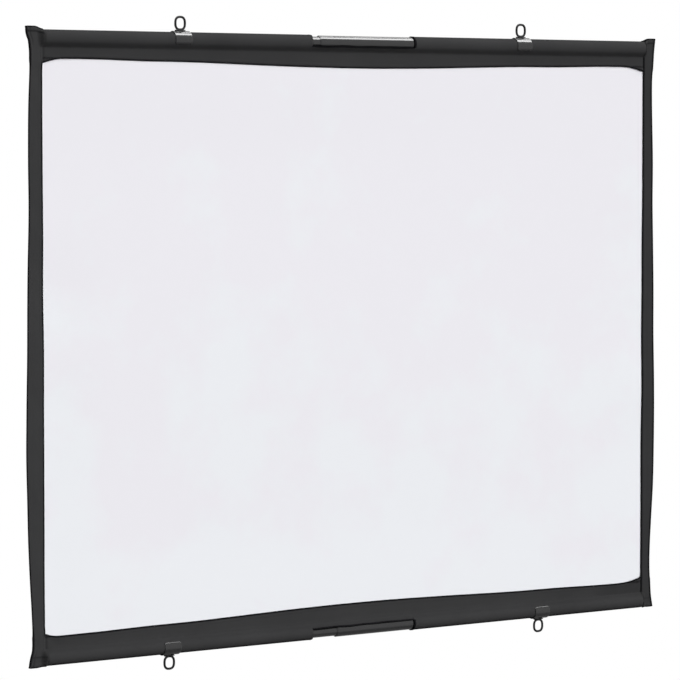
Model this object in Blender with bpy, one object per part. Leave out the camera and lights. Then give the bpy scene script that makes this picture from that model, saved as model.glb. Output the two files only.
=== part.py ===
"""A cloth projection screen that hangs from rings, stretched by two telescopic poles.

Units are metres. X runs along the poles, Y points at the wall and Z points up. The origin is the hanging
line: the inner top of the two upper rings, over the middle of the screen.
"""
import math

import bmesh
import bpy

# Clearance between pieces that touch
GAP = 0.0003

# White cloth and black cloth
VIEW_WIDTH = 1.016
POLE_SPACING = 0.819
CLOTH = 0.0006
CLOTH_EDGE_DROP = 0.002

# Poles: a thick outer tube on the right takes a thin inner tube from the left
OUTER_TUBE_DIAMETER = 0.019
TUBE_WALL = 0.001
SLIDE_CLEARANCE = 0.0005
POLE_INSET = 0.010
INNER_TUBE_REACH = 0.048
TOP_TUBE_MOUTH = -0.074
BOTTOM_TUBE_MOUTH = -0.044

# Plastic plugs and bushes in the tube ends
PLUG_HEAD = 0.003
PLUG_SPIGOT = 0.012
PLUG_CHAMFER = 0.0008
BUSH_HEAD = 0.010

# Pole sleeves: the flap is the flat double layer between the seam and the inner edge
SEAM_CLEARANCE = 0.0024
FLAP = 0.0156
FLAP_SAG = 0.0075
FLAP_SAG_REACH = 0.430
FLAP_CORNER = 0.007
FLAP_CORNER_RUN = 0.043
NOTCH_WIDTH = 0.174
NOTCH_PAST_AXIS = 0.005

# Side bindings: width outside the white area
CORNER_WIDTH = 0.0237
WAIST_WIDTH = 0.0183
SWELL_WIDTH = 0.0265
CORNER_FLARE = 0.036
SWELL_DROP = 0.590
EDGE_MARGIN = 0.0035
BINDING_TAPER = 0.010

# Corners: the flattened sleeve stands up past the line of the sleeve
TOP_EAR = 0.0032
BOTTOM_EAR = 0.0003
EAR_START = 0.005
EAR_RUN = 0.018

# Spring clips and their rings
CLIP_WIDTH = 0.026
CLIP_THICKNESS = 0.0012
CLIP_MOUTH = 0.0175
RING_WIRE = 0.0025
RING_INNER_WIDTH = 0.012
RING_INNER_LENGTH = 0.0149
FOOT_LENGTH = 0.015
FOOT_DEPTH = 0.005
FOOT_THICKNESS = 0.0012
TOP_LEFT_CLIP = -0.2945
TOP_RIGHT_CLIP = 0.2813
BOTTOM_LEFT_CLIP = -0.3146
BOTTOM_RIGHT_CLIP = 0.3166

# Facets
TURN_STEPS = 32
ARC_STEPS = 7
FOLD_STEPS = 2
CLIP_STEPS = 20
FOOT_STEPS = 4
RING_STEPS = 24
RING_SIDES = 8

# Sizes that follow from the ones above
HALF_VIEW = VIEW_WIDTH / 2
POLE_END = HALF_VIEW - POLE_INSET
TUBE_END = POLE_END - PLUG_HEAD - GAP
OUTER_RADIUS = OUTER_TUBE_DIAMETER / 2
OUTER_BORE = OUTER_RADIUS - TUBE_WALL
INNER_RADIUS = OUTER_BORE - SLIDE_CLEARANCE
INNER_BORE = INNER_RADIUS - TUBE_WALL
SLEEVE_MIDDLE = OUTER_RADIUS + GAP + CLOTH / 2
SLEEVE_OUTER = SLEEVE_MIDDLE + CLOTH / 2
LAYER_STEP = CLOTH + GAP
SEAM_OUT = -(SLEEVE_MIDDLE + SEAM_CLEARANCE)
TUCK = WAIST_WIDTH - EDGE_MARGIN
CLIP_INNER = SLEEVE_OUTER + GAP
CLIP_OUTER = CLIP_INNER + CLIP_THICKNESS
CLIP_WRAP = math.pi - math.asin(CLIP_MOUTH / 2 / CLIP_INNER)
FOOT_INNER = CLIP_OUTER + GAP
RING_NEAR = FOOT_INNER + FOOT_THICKNESS / 8
HANG_REACH = RING_NEAR + RING_WIRE + RING_INNER_LENGTH
TOP_AXIS = -HANG_REACH
BINDING_TOP = SLEEVE_OUTER
BINDING_BOTTOM = -POLE_SPACING - SLEEVE_OUTER


def clear_scene():
    for item in list(bpy.data.objects):
        bpy.data.objects.remove(item, do_unlink=True)


def material(name, colour, roughness, metallic=0.0):
    made = bpy.data.materials.new(name)
    made.use_nodes = True
    shader = made.node_tree.nodes["Principled BSDF"]
    shader.inputs["Base Color"].default_value = (*colour, 1)
    shader.inputs["Roughness"].default_value = roughness
    shader.inputs["Metallic"].default_value = metallic
    return made


def axis_empty(name, place, parent=None):
    """An empty on a joint's axis, which carries the pieces that move with it."""
    empty = bpy.data.objects.new(name, None)
    empty.location = place
    empty.parent = parent
    bpy.context.collection.objects.link(empty)
    return empty


def add_object(name, bm, parent, finish, place=(0, 0, 0), smooth=True):
    mesh = bpy.data.meshes.new(name)
    bmesh.ops.recalc_face_normals(bm, faces=bm.faces)
    bm.to_mesh(mesh)
    bm.free()
    if smooth:
        mesh.shade_smooth()
        mesh.set_sharp_from_angle(angle=math.radians(40))
    made = bpy.data.objects.new(name, mesh)
    made.location = place
    made.parent = parent
    bpy.context.collection.objects.link(made)
    if finish:
        mesh.materials.append(finish)
    return made


def hide_cutter(made):
    made.hide_render = True
    made.display_type = "WIRE"


def add_boolean(made, operation, other):
    cut = made.modifiers.new(operation.lower(), "BOOLEAN")
    cut.operation = operation
    cut.solver = "EXACT"
    cut.object = other


def smooth_step(share):
    share = min(max(share, 0), 1)
    return share * share * (3 - 2 * share)


def spread(start, end, steps):
    """Even places from start up to, but not at, the end."""
    return [start + (end - start) * step / steps for step in range(steps)]


def cloth_sheet(name, rows, parent, finish, place=(0, 0, 0)):
    """A cloth of one thickness whose middle runs through rows of points."""
    bm = bmesh.new()
    grid = [[bm.verts.new(point) for point in row] for row in rows]
    for row, following in zip(grid, grid[1:]):
        for step in range(len(row) - 1):
            bm.faces.new((row[step], row[step + 1], following[step + 1], following[step]))
    made = add_object(name, bm, parent, finish, place)
    thickness = made.modifiers.new("thickness", "SOLIDIFY")
    thickness.thickness = CLOTH
    thickness.offset = 0
    thickness.use_even_offset = True
    return made


def turned(name, profile, parent, finish, place=(0, 0, 0), bored=False):
    """A profile of (x, radius) points turned about the X axis; a bored one closes on itself."""
    bm = bmesh.new()
    points = [bm.verts.new((x, 0, radius)) for x, radius in profile]
    pairs = list(zip(points, points[1:]))
    if bored:
        pairs.append((points[-1], points[0]))
    edges = [bm.edges.new(pair) for pair in pairs]
    bmesh.ops.spin(bm, geom=points + edges, cent=(0, 0, 0), axis=(1, 0, 0), angle=math.tau,
                   steps=TURN_STEPS, use_merge=True)
    bmesh.ops.remove_doubles(bm, verts=bm.verts, dist=1e-6)
    return add_object(name, bm, parent, finish, place)


def extruded_arc(name, inner, outer, half_angle, width, steps, out, parent, finish):
    """A band of an arc about the X axis, centred on the way out from the screen."""
    angles = [half_angle * (2 * step / steps - 1) for step in range(steps + 1)]
    outline = [(outer * math.sin(a), out * outer * math.cos(a)) for a in angles]
    outline += [(inner * math.sin(a), out * inner * math.cos(a)) for a in reversed(angles)]
    bm = bmesh.new()
    side = bm.faces.new([bm.verts.new((-width / 2, y, z)) for y, z in outline])
    other = bmesh.ops.extrude_face_region(bm, geom=[side])["geom"]
    moved = [item for item in other if isinstance(item, bmesh.types.BMVert)]
    bmesh.ops.translate(bm, verts=moved, vec=(width, 0, 0))
    return add_object(name, bm, parent, finish)


# Black cloth: shape of the sleeves and bindings

def flap_length(across):
    """How far the flap reaches past the seam: it sags in the middle and flares at the corners."""
    reach = min(abs(across), FLAP_SAG_REACH)
    sag = FLAP_SAG * math.cos(math.pi / 2 * reach / FLAP_SAG_REACH) ** 2
    flare = (min(abs(across), HALF_VIEW) - HALF_VIEW + FLAP_CORNER_RUN) / FLAP_CORNER_RUN
    return FLAP + sag + FLAP_CORNER * max(flare, 0) ** 2


def ear_rise(across, ear):
    return ear * smooth_step((abs(across) - HALF_VIEW + EAR_START) / EAR_RUN)


def round_half():
    """The sleeve round the tube, from where it leaves the seam's tangent to its top, as (y, out) points."""
    to_seam = math.hypot(LAYER_STEP, SEAM_OUT)
    start = math.pi - math.atan2(LAYER_STEP, -SEAM_OUT) - math.acos(SLEEVE_MIDDLE / to_seam)
    angles = [start * (1 - step / ARC_STEPS) for step in range(ARC_STEPS + 1)]
    return [(SLEEVE_MIDDLE * math.sin(a), SLEEVE_MIDDLE * math.cos(a)) for a in angles]


def flat_half(rise):
    """The sleeve pressed flat in the corner, with as many points as the round one."""
    top = SLEEVE_MIDDLE + rise
    low = SEAM_OUT / 2
    high = top - LAYER_STEP
    side = [(LAYER_STEP, low + (high - low) * step / (ARC_STEPS - 1)) for step in range(ARC_STEPS)]
    return side + [(0, top)]


def sleeve_section(across, ear):
    """Middle line of the sleeve's cloth at one place along the pole, from front flap to back flap."""
    pressed = smooth_step((abs(across) - POLE_END - 2 * GAP) / (POLE_INSET - 4 * GAP))
    half = [(LAYER_STEP, SEAM_OUT - flap_length(across)), (LAYER_STEP, SEAM_OUT)]
    for full, flat in zip(round_half(), flat_half(ear_rise(across, ear))):
        half.append(tuple(a + (b - a) * pressed for a, b in zip(full, flat)))
    front = [(-y, out) for y, out in half]
    return front + half[-2::-1]


def sleeve_places():
    """Places along the pole where the sleeve's section is drawn: close together at the corners."""
    corner = POLE_END + 2 * GAP
    bound = HALF_VIEW - 2 * GAP
    half = spread(0, FLAP_SAG_REACH, 6) + spread(FLAP_SAG_REACH, corner, 3) + spread(corner, bound, 4)
    half += [bound, HALF_VIEW + TUCK]
    return [-place for place in reversed(half[1:])] + half


def make_sleeve(name, out, ear, notch_name, parent, finish, place):
    rows = [[(x, y, out * z) for y, z in sleeve_section(x, ear)] for x in sleeve_places()]
    sleeve = cloth_sheet(name, rows, parent, finish, place)
    depth = 2 * SLEEVE_OUTER + NOTCH_PAST_AXIS
    bm = bmesh.new()
    bmesh.ops.create_cube(bm, size=1)
    bmesh.ops.scale(bm, verts=bm.verts, vec=(NOTCH_WIDTH, 3 * SLEEVE_OUTER, depth))
    bmesh.ops.translate(bm, verts=bm.verts, vec=(0, 0, out * (depth / 2 - NOTCH_PAST_AXIS)))
    notch = add_object(notch_name, bm, parent, None, place, smooth=False)
    hide_cutter(notch)
    add_boolean(sleeve, "DIFFERENCE", notch)


def binding_heights():
    """Heights of the binding's rows below the top pole's axis, from its top end to its bottom end."""
    flap_end = SLEEVE_OUTER - SEAM_OUT + flap_length(HALF_VIEW) + GAP
    taper_end = flap_end + BINDING_TAPER
    marks = [(BINDING_TOP, 5), (BINDING_TOP - CORNER_FLARE, 2), (BINDING_TOP - flap_end, 2),
             (BINDING_TOP - taper_end, 7), (BINDING_TOP - SWELL_DROP, 5), (BINDING_BOTTOM + taper_end, 2),
             (BINDING_BOTTOM + flap_end, 2), (BINDING_BOTTOM + CORNER_FLARE, 5), (BINDING_BOTTOM, 1)]
    heights = []
    for (start, steps), (end, _) in zip(marks, marks[1:]):
        heights += spread(start, end, steps)
    return heights + [BINDING_BOTTOM]


def binding_width(height):
    """Width of the binding at a height, eased from corner to waist to swell and back."""
    marks = [(BINDING_TOP, CORNER_WIDTH), (BINDING_TOP - CORNER_FLARE, WAIST_WIDTH),
             (BINDING_TOP - SWELL_DROP, SWELL_WIDTH), (BINDING_BOTTOM + CORNER_FLARE, WAIST_WIDTH),
             (BINDING_BOTTOM, CORNER_WIDTH)]
    for (high, wide), (low, next_wide) in zip(marks, marks[1:]):
        if height >= low:
            return wide + (next_wide - wide) * smooth_step((high - height) / (high - low))
    return CORNER_WIDTH


def binding_layer(height):
    """Distance of each binding layer from the middle: further out where it goes over the sleeve's flaps."""
    out = max(height, -POLE_SPACING - height)
    flap_edge = SEAM_OUT - flap_length(HALF_VIEW) - GAP
    return LAYER_STEP * (1 + smooth_step((out - flap_edge + BINDING_TAPER) / BINDING_TAPER))


def binding_section(height):
    """Middle line of the binding's cloth at a height, from front edge round the fold to back edge."""
    layer = binding_layer(height)
    bend = binding_width(height) - CLOTH / 2 - layer
    half = [(0, layer)]
    for step in range(FOLD_STEPS + 1):
        turn = math.pi / 2 * (1 - step / FOLD_STEPS)
        half.append((bend + layer * math.cos(turn), layer * math.sin(turn)))
    return [(x, -y) for x, y in half] + half[-2::-1]


def make_binding(name, side, parent, finish):
    ears = {BINDING_TOP: TOP_EAR, BINDING_BOTTOM: -BOTTOM_EAR}
    rows = []
    for height in binding_heights():
        row = []
        for wide, y in binding_section(height):
            across = HALF_VIEW + wide
            row.append((side * across, y, height + ear_rise(across, ears.get(height, 0))))
        rows.append(row)
    cloth_sheet(name, rows, parent, finish)


def make_screen(parent, white, black):
    half_width = HALF_VIEW + TUCK
    top = SEAM_OUT - CLOTH_EDGE_DROP
    bottom = -POLE_SPACING - top
    rows = [[(-half_width, 0, z), (half_width, 0, z)] for z in (top, bottom)]
    cloth_sheet("screen_cloth", rows, parent, white)
    below = (0, 0, -POLE_SPACING)
    make_sleeve("top_sleeve", 1, TOP_EAR, "top_notch", parent, black, (0, 0, 0))
    make_sleeve("bottom_sleeve", -1, BOTTOM_EAR, "bottom_notch", parent, black, below)
    for name, side in (("left_binding", -1), ("right_binding", 1)):
        make_binding(name, side, parent, black)


# Poles

def make_plug(name, tube_end, way, bore, parent, finish):
    """A plug with a chamfered head, its spigot in the tube; way is +1 where the tube ends on the right."""
    shoulder = tube_end + way * GAP
    face = shoulder + way * PLUG_HEAD
    spigot = bore - GAP
    profile = [(face, 0), (face, OUTER_RADIUS - PLUG_CHAMFER), (face - way * PLUG_CHAMFER, OUTER_RADIUS),
               (shoulder, OUTER_RADIUS), (shoulder, spigot), (tube_end - way * PLUG_SPIGOT, spigot),
               (tube_end - way * PLUG_SPIGOT, 0)]
    turned(name, profile, parent, finish)


def make_bush(name, tube_end, parent, finish):
    """The guide bush in the inserted end of the inner tube."""
    shoulder = tube_end + GAP
    face = shoulder + BUSH_HEAD
    head = OUTER_BORE - GAP
    spigot = INNER_BORE - GAP
    profile = [(face, 0), (face, head - PLUG_CHAMFER), (face - PLUG_CHAMFER, head), (shoulder, head),
               (shoulder, spigot), (tube_end - PLUG_SPIGOT, spigot), (tube_end - PLUG_SPIGOT, 0)]
    turned(name, profile, parent, finish)


def make_tube(name, start, end, radius, bore, parent, finish):
    profile = [(start, bore), (end, bore), (end, radius), (start, radius)]
    turned(name, profile, parent, finish, bored=True)


def make_pole(name, mouth, outer_axis, inner_axis, steel, plastic):
    make_tube(name + "_outer_tube", mouth, TUBE_END, OUTER_RADIUS, OUTER_BORE, outer_axis, steel)
    make_plug(name + "_outer_plug", TUBE_END, 1, OUTER_BORE, outer_axis, plastic)
    make_tube(name + "_inner_tube", -TUBE_END, INNER_TUBE_REACH, INNER_RADIUS, INNER_BORE, inner_axis,
              steel)
    make_plug(name + "_inner_plug", -TUBE_END, -1, INNER_BORE, inner_axis, plastic)
    make_bush(name + "_guide_bush", INNER_TUBE_REACH, inner_axis, plastic)


# Clips and rings

def make_clip(name, out, axis, steel):
    extruded_arc(name + "_clip", CLIP_INNER, CLIP_OUTER, CLIP_WRAP, CLIP_WIDTH, CLIP_STEPS, out, axis,
                 steel)
    foot_angle = math.asin(FOOT_DEPTH / 2 / FOOT_INNER)
    foot_outer = FOOT_INNER + FOOT_THICKNESS
    foot = extruded_arc(name + "_foot", FOOT_INNER, foot_outer, foot_angle, FOOT_LENGTH, FOOT_STEPS, out,
                        axis, None)
    hide_cutter(foot)
    ring = make_ring(name + "_ring", out, axis, steel)
    add_boolean(ring, "UNION", foot)


def make_ring(name, out, axis, steel):
    """An oval ring of faceted wire, flat at its front and back, standing out from the clip."""
    half_wire = RING_WIRE / 2
    corner = half_wire / math.cos(math.pi / RING_SIDES)
    half_width = RING_INNER_WIDTH / 2 + half_wire
    half_length = RING_INNER_LENGTH / 2 + half_wire
    centre = RING_NEAR + half_wire + half_length
    bm = bmesh.new()
    loops = []
    for step in range(RING_STEPS):
        turn = math.tau * step / RING_STEPS
        normal = (math.cos(turn) * half_length, math.sin(turn) * half_width)
        size = math.hypot(*normal)
        loop = []
        for side in range(RING_SIDES):
            angle = math.tau * (side + 0.5) / RING_SIDES
            swell = corner * math.cos(angle) / size
            x = half_width * math.cos(turn) + swell * normal[0]
            z = centre + half_length * math.sin(turn) + swell * normal[1]
            loop.append(bm.verts.new((x, corner * math.sin(angle), out * z)))
        loops.append(loop)
    for loop, following in zip(loops, loops[1:] + loops[:1]):
        for side in range(RING_SIDES):
            after = (side + 1) % RING_SIDES
            bm.faces.new((loop[side], loop[after], following[after], following[side]))
    return add_object(name, bm, axis, steel)


def make_part():
    clear_scene()
    white = material("white_cloth", (0.82, 0.81, 0.85), 0.9)
    black = material("black_cloth", (0.042, 0.042, 0.043), 0.85)
    steel = material("black_steel", (0.075, 0.075, 0.076), 0.25, 1.0)
    plastic = material("black_plastic", (0.03, 0.03, 0.03), 0.5)

    top = axis_empty("top_pole_axis", (0, 0, TOP_AXIS))
    bottom = axis_empty("bottom_pole_axis", (0, 0, -POLE_SPACING), top)
    screen = axis_empty("screen_axis", (0, 0, 0), top)
    top_inner = axis_empty("top_inner_axis", (0, 0, 0), top)
    bottom_inner = axis_empty("bottom_inner_axis", (0, 0, 0), bottom)

    make_screen(screen, white, black)
    make_pole("top", TOP_TUBE_MOUTH, top, top_inner, steel, plastic)
    make_pole("bottom", BOTTOM_TUBE_MOUTH, bottom, bottom_inner, steel, plastic)
    clips = (("top_left", TOP_LEFT_CLIP, 1, top), ("top_right", TOP_RIGHT_CLIP, 1, top),
             ("bottom_left", BOTTOM_LEFT_CLIP, -1, bottom), ("bottom_right", BOTTOM_RIGHT_CLIP, -1, bottom))
    for name, place, out, pole in clips:
        make_clip(name, out, axis_empty(name + "_axis", (place, 0, 0), pole), steel)


make_part()
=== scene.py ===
import math
from functools import reduce
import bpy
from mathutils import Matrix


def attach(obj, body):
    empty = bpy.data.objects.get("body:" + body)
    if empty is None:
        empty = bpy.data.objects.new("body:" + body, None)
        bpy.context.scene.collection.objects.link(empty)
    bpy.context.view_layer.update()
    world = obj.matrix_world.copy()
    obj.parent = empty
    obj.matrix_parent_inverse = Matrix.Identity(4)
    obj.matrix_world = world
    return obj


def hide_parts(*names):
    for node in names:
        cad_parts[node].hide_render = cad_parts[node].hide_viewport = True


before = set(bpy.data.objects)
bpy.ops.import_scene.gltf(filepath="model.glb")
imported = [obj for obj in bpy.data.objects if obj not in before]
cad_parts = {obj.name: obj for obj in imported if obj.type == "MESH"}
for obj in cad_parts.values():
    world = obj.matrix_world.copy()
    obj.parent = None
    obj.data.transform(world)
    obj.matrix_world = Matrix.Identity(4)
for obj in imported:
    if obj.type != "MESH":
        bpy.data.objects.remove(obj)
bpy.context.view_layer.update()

from types import SimpleNamespace

import bpy
import numpy as np

# All lengths are in metres. "Depth" runs down from the top pole's axis, "out" runs from a pole's axis away from
# the white cloth, and "far" is the distance from the middle of the screen. A pair named RISE or FADE is the start
# and the run of a smooth step, and one named SPOT is the middle and the width of a bump.

# Sizes shared with the solids
HALF_VIEW = 0.508
TOP_AXIS = -0.02975
POLE_SPACING = 0.819
BOTTOM_AXIS = TOP_AXIS - POLE_SPACING
CLOTH = 0.0006
GAP = 0.0003
LAYER_STEP = CLOTH + GAP
TUCK = 0.0148
SLEEVE_MIDDLE = 0.0101
SLEEVE_OUTER = 0.0104
SEAM_OUT = -0.0125

# Sewing: rows of points in from a hemmed edge, one of which carries the stitches in a groove
HEM_ROWS = (0.0, 0.0004, 0.0011, 0.0018, 0.0025, 0.0032, 0.0042, 0.0056)
HEM_STITCH = 4
HEM_DEEP = 0.0050
GROOVE_SPOT = (HEM_ROWS[HEM_STITCH], 0.0007)
GROOVE_DEPTH = 0.0002
STITCH_PITCH = 0.0042
STITCH_LENGTH = 0.0031
THREAD_RADIUS = 0.00026
THREAD_SIDES = 6
# Lift and thickness along one stitch, in thread radii
STITCH_LIFT = (-1.1, 0.25, 0.6, 0.25, -1.1)
STITCH_GIRTH = (0.6, 1.0, 1.0, 1.0, 0.6)

# Marks for rows that are nowhere near an edge or not on the round of a sleeve
FAR_FROM_EDGE = 1.0
OFF_ROUND = 9.0
TINY = 1e-6
NO_LENGTH = 1e-12


def step(at, start, run):
    """A smooth rise from 0 at the start to 1 at the end of the run."""
    share = np.clip((at - start) / run, 0, 1)
    return share * share * (3 - 2 * share)


def fade(at, start, run):
    """A smooth fall from 1 at the start to 0 at the end of the run."""
    return 1 - step(at, start, run)


def bell(at, middle, width):
    """A rounded bump of height 1."""
    return np.exp(-((at - middle) / width) ** 2)


def curve(marks, at):
    """A smooth curve through (place, value) marks."""
    place, value = np.array(marks).T
    slope = np.gradient(value, place)
    first = np.clip(np.searchsorted(place, at) - 1, 0, len(place) - 2)
    run = place[first + 1] - place[first]
    t = np.clip((at - place[first]) / run, 0, 1)
    start = (2 * t ** 3 - 3 * t ** 2 + 1) * value[first] + (t ** 3 - 2 * t ** 2 + t) * run * slope[first]
    end = (3 * t ** 2 - 2 * t ** 3) * value[first + 1] + (t ** 3 - t ** 2) * run * slope[first + 1]
    return start + end


RIPPLE_SHARES = (0.62, 0.87, 1.13, 1.55)
RIPPLE_PEAK = 2.4


def ripple(at, length, seed):
    """Uneven waves about one length apart, from about -1 to 1."""
    draw = np.random.RandomState(seed)
    total = 0
    for share in RIPPLE_SHARES:
        total = total + np.sin(math.tau * at * share / length + draw.uniform(0, math.tau))
    return total / RIPPLE_PEAK


def unit(vectors):
    return vectors / np.maximum(np.linalg.norm(vectors, axis=-1, keepdims=True), NO_LENGTH)


def around(count):
    """Evenly spaced angles round a full turn."""
    return np.arange(count) / count * math.tau


def largest(*values):
    """The largest of several values at each point."""
    return reduce(np.maximum, values)


# Meshes from grids of points

CLOTH_RIM = 0.8
PLATE_RIM = 0.6


def grid_normals(points, turn):
    along = np.gradient(points, axis=0)
    across = np.gradient(points, axis=1)
    return turn * unit(np.cross(along, across))


def shell(points, outer, inner, turn=1, keep=None, rim=CLOTH_RIM, uv=None, hem=None):
    """A closed skin round a grid of middle points, with rounded rims where the grid ends or is cut out."""
    rows, columns = points.shape[:2]
    count = rows * columns
    normal = grid_normals(points, turn)
    outer = np.broadcast_to(outer, (rows, columns))[..., None]
    inner = np.broadcast_to(inner, (rows, columns))[..., None]
    keep = np.ones((rows - 1, columns - 1), bool) if keep is None else keep
    ids = np.arange(count).reshape(rows, columns)
    corners = [ids[:-1, :-1], ids[1:, :-1], ids[1:, 1:], ids[:-1, 1:]]
    ring = np.pad(keep, 1)
    beyond = [ring[1:-1, :-2], ring[2:, 1:-1], ring[1:-1, 2:], ring[:-2, 1:-1]]
    faces = np.stack([corner[keep] for corner in corners], -1)
    edges = []
    for side in range(4):
        open_side = keep & ~beyond[side]
        edges.append(np.stack([corners[side][open_side], corners[(side + 1) % 4][open_side]], -1))
    edges = np.concatenate(edges)
    if turn < 0:
        faces = faces[:, ::-1]
        edges = edges[:, ::-1]
    flat_points = points.reshape(-1, 3)
    flat_normal = normal.reshape(-1, 3)
    ahead = flat_points[edges[:, 1]] - flat_points[edges[:, 0]]
    outward = np.zeros((count, 3))
    for end in (0, 1):
        np.add.at(outward, edges[:, end], unit(np.cross(ahead, flat_normal[edges[:, end]])))
    half = (outer + inner).reshape(-1, 1) / 2
    surface = points + normal * outer
    verts = np.concatenate([surface.reshape(-1, 3), (points - normal * inner).reshape(-1, 3),
                            flat_points + unit(outward) * half * rim])
    a, b = edges.T
    rims = [np.stack([b, a, a + 2 * count, b + 2 * count], -1),
            np.stack([b + 2 * count, a + 2 * count, a + count, b + count], -1)]
    faces = np.concatenate([faces, faces[:, ::-1] + count] + rims)
    used, faces = np.unique(faces, return_inverse=True)
    made = {"verts": verts[used], "faces": faces.reshape(-1, 4).tolist(), "surface": surface, "normal": normal}
    if uv is not None:
        made["uv"] = np.tile(uv.reshape(-1, 2), (3, 1))[used]
    # The painted shade attribute goes with the outer, inner and rim points alike
    if hem is not None:
        made["hem"] = np.tile(hem.reshape(-1), 3)[used]
    return made


def wrapped(points, capped=False):
    """A skin over a grid that closes on itself along both axes, or is capped at both ends of its second."""
    rows, columns = points.shape[:2]
    ids = np.arange(rows * columns).reshape(rows, columns)
    following = np.roll(ids, -1, axis=0)
    faces = np.stack([ids, np.roll(ids, -1, axis=1), np.roll(following, -1, axis=1), following], -1)
    if capped:
        faces = faces[:, :-1]
    faces = faces.reshape(-1, 4).tolist()
    if capped:
        faces += [ids[:, 0].tolist(), ids[::-1, -1].tolist()]
    return {"verts": points.reshape(-1, 3), "faces": faces}


def run_lengths(points):
    """Distance run along each row of a grid."""
    steps = np.linalg.norm(np.diff(points, axis=1), axis=2)
    return np.concatenate([np.zeros((len(points), 1)), np.cumsum(steps, 1)], 1)


def edge_rows(width, count, close):
    """Distances from a hemmed edge: the hem's rows, a count of even ones, then those close to the far end."""
    hem = np.array(HEM_ROWS) + 0 * width
    even = HEM_ROWS[-1] + (width - close[0] - HEM_ROWS[-1]) * np.linspace(0, 1, count + 1)[1:]
    return np.concatenate([hem, even, width - np.array(close[1:])], 1)


def seam(skin, places, rows):
    """A path for stitches on the outside of a skin."""
    return skin["surface"][places, rows], skin["normal"][places, rows]


def stitches(paths):
    """Rows of thread stitches; each path is (points, normals) along the cloth's surface."""
    lift = np.array(STITCH_LIFT) * THREAD_RADIUS
    girth = np.array(STITCH_GIRTH) * THREAD_RADIUS
    all_verts, all_faces, base = [], [], 0
    for points, normals in paths:
        along = run_lengths(points[None])[0]
        count = int((along[-1] - STITCH_LENGTH) / STITCH_PITCH) + 1
        start = (along[-1] - (count - 1) * STITCH_PITCH - STITCH_LENGTH) / 2
        at = start + np.arange(count)[:, None] * STITCH_PITCH + np.linspace(0, STITCH_LENGTH, len(lift))
        middle, up = (np.stack([np.interp(at, along, part) for part in vectors.T], -1)
                      for vectors in (points, normals))
        up = unit(up)
        way = unit(middle[:, -1:] - middle[:, :1]) + np.zeros_like(up)
        side = unit(np.cross(way, up))
        middle = middle + up * lift[:, None]
        rings = [middle + girth[:, None] * (math.cos(t) * side + math.sin(t) * up) for t in around(THREAD_SIDES)]
        all_verts.append(np.stack(rings, 2).reshape(-1, 3))
        ids = base + np.arange(count * len(lift) * THREAD_SIDES).reshape(count, len(lift), THREAD_SIDES)
        quads = np.stack([ids[:, :-1], ids[:, 1:], np.roll(ids[:, 1:], -1, 2), np.roll(ids[:, :-1], -1, 2)], -1)
        all_faces += quads.reshape(-1, 4).tolist() + ids[:, 0].tolist() + ids[:, -1, ::-1].tolist()
        base += ids.size
    return {"verts": np.concatenate(all_verts), "faces": all_faces}


def piece(name, parts, finish, body, replaced=(), sharp=None):
    """One object from one or more skins, riding on a body."""
    faces, base = [], 0
    for part in parts:
        faces += [[corner + base for corner in face] for face in part["faces"]]
        base += len(part["verts"])
    mesh = bpy.data.meshes.new(name)
    mesh.from_pydata(np.concatenate([part["verts"] for part in parts]).tolist(), [], faces)
    corner_of = np.zeros(len(mesh.loops), np.int32)
    mesh.loops.foreach_get("vertex_index", corner_of)
    if all("uv" in part for part in parts):
        uv = np.concatenate([part["uv"] for part in parts])
        mesh.uv_layers.new(name="cut").data.foreach_set("uv", uv[corner_of].astype(np.float32).ravel())
    # The attribute carries painted shade into the cloth's colour
    if all("hem" in part for part in parts):
        hem = np.concatenate([part["hem"] for part in parts])
        mesh.attributes.new("hem", "FLOAT", "POINT").data.foreach_set("value", hem.astype(np.float32))
    mesh.validate()
    mesh.shade_smooth()
    if sharp:
        mesh.set_sharp_from_angle(angle=math.radians(sharp))
    mesh.materials.append(finish)
    made = bpy.data.objects.new(name, mesh)
    bpy.context.scene.collection.objects.link(made)
    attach(made, body)
    if replaced:
        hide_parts(*replaced)
    return made


# Finishes

# Sockets of the mix node when it mixes colours
MIX_SHARE, MIX_FIRST, MIX_SECOND, MIX_RESULT = 0, 6, 7, 2


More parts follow.
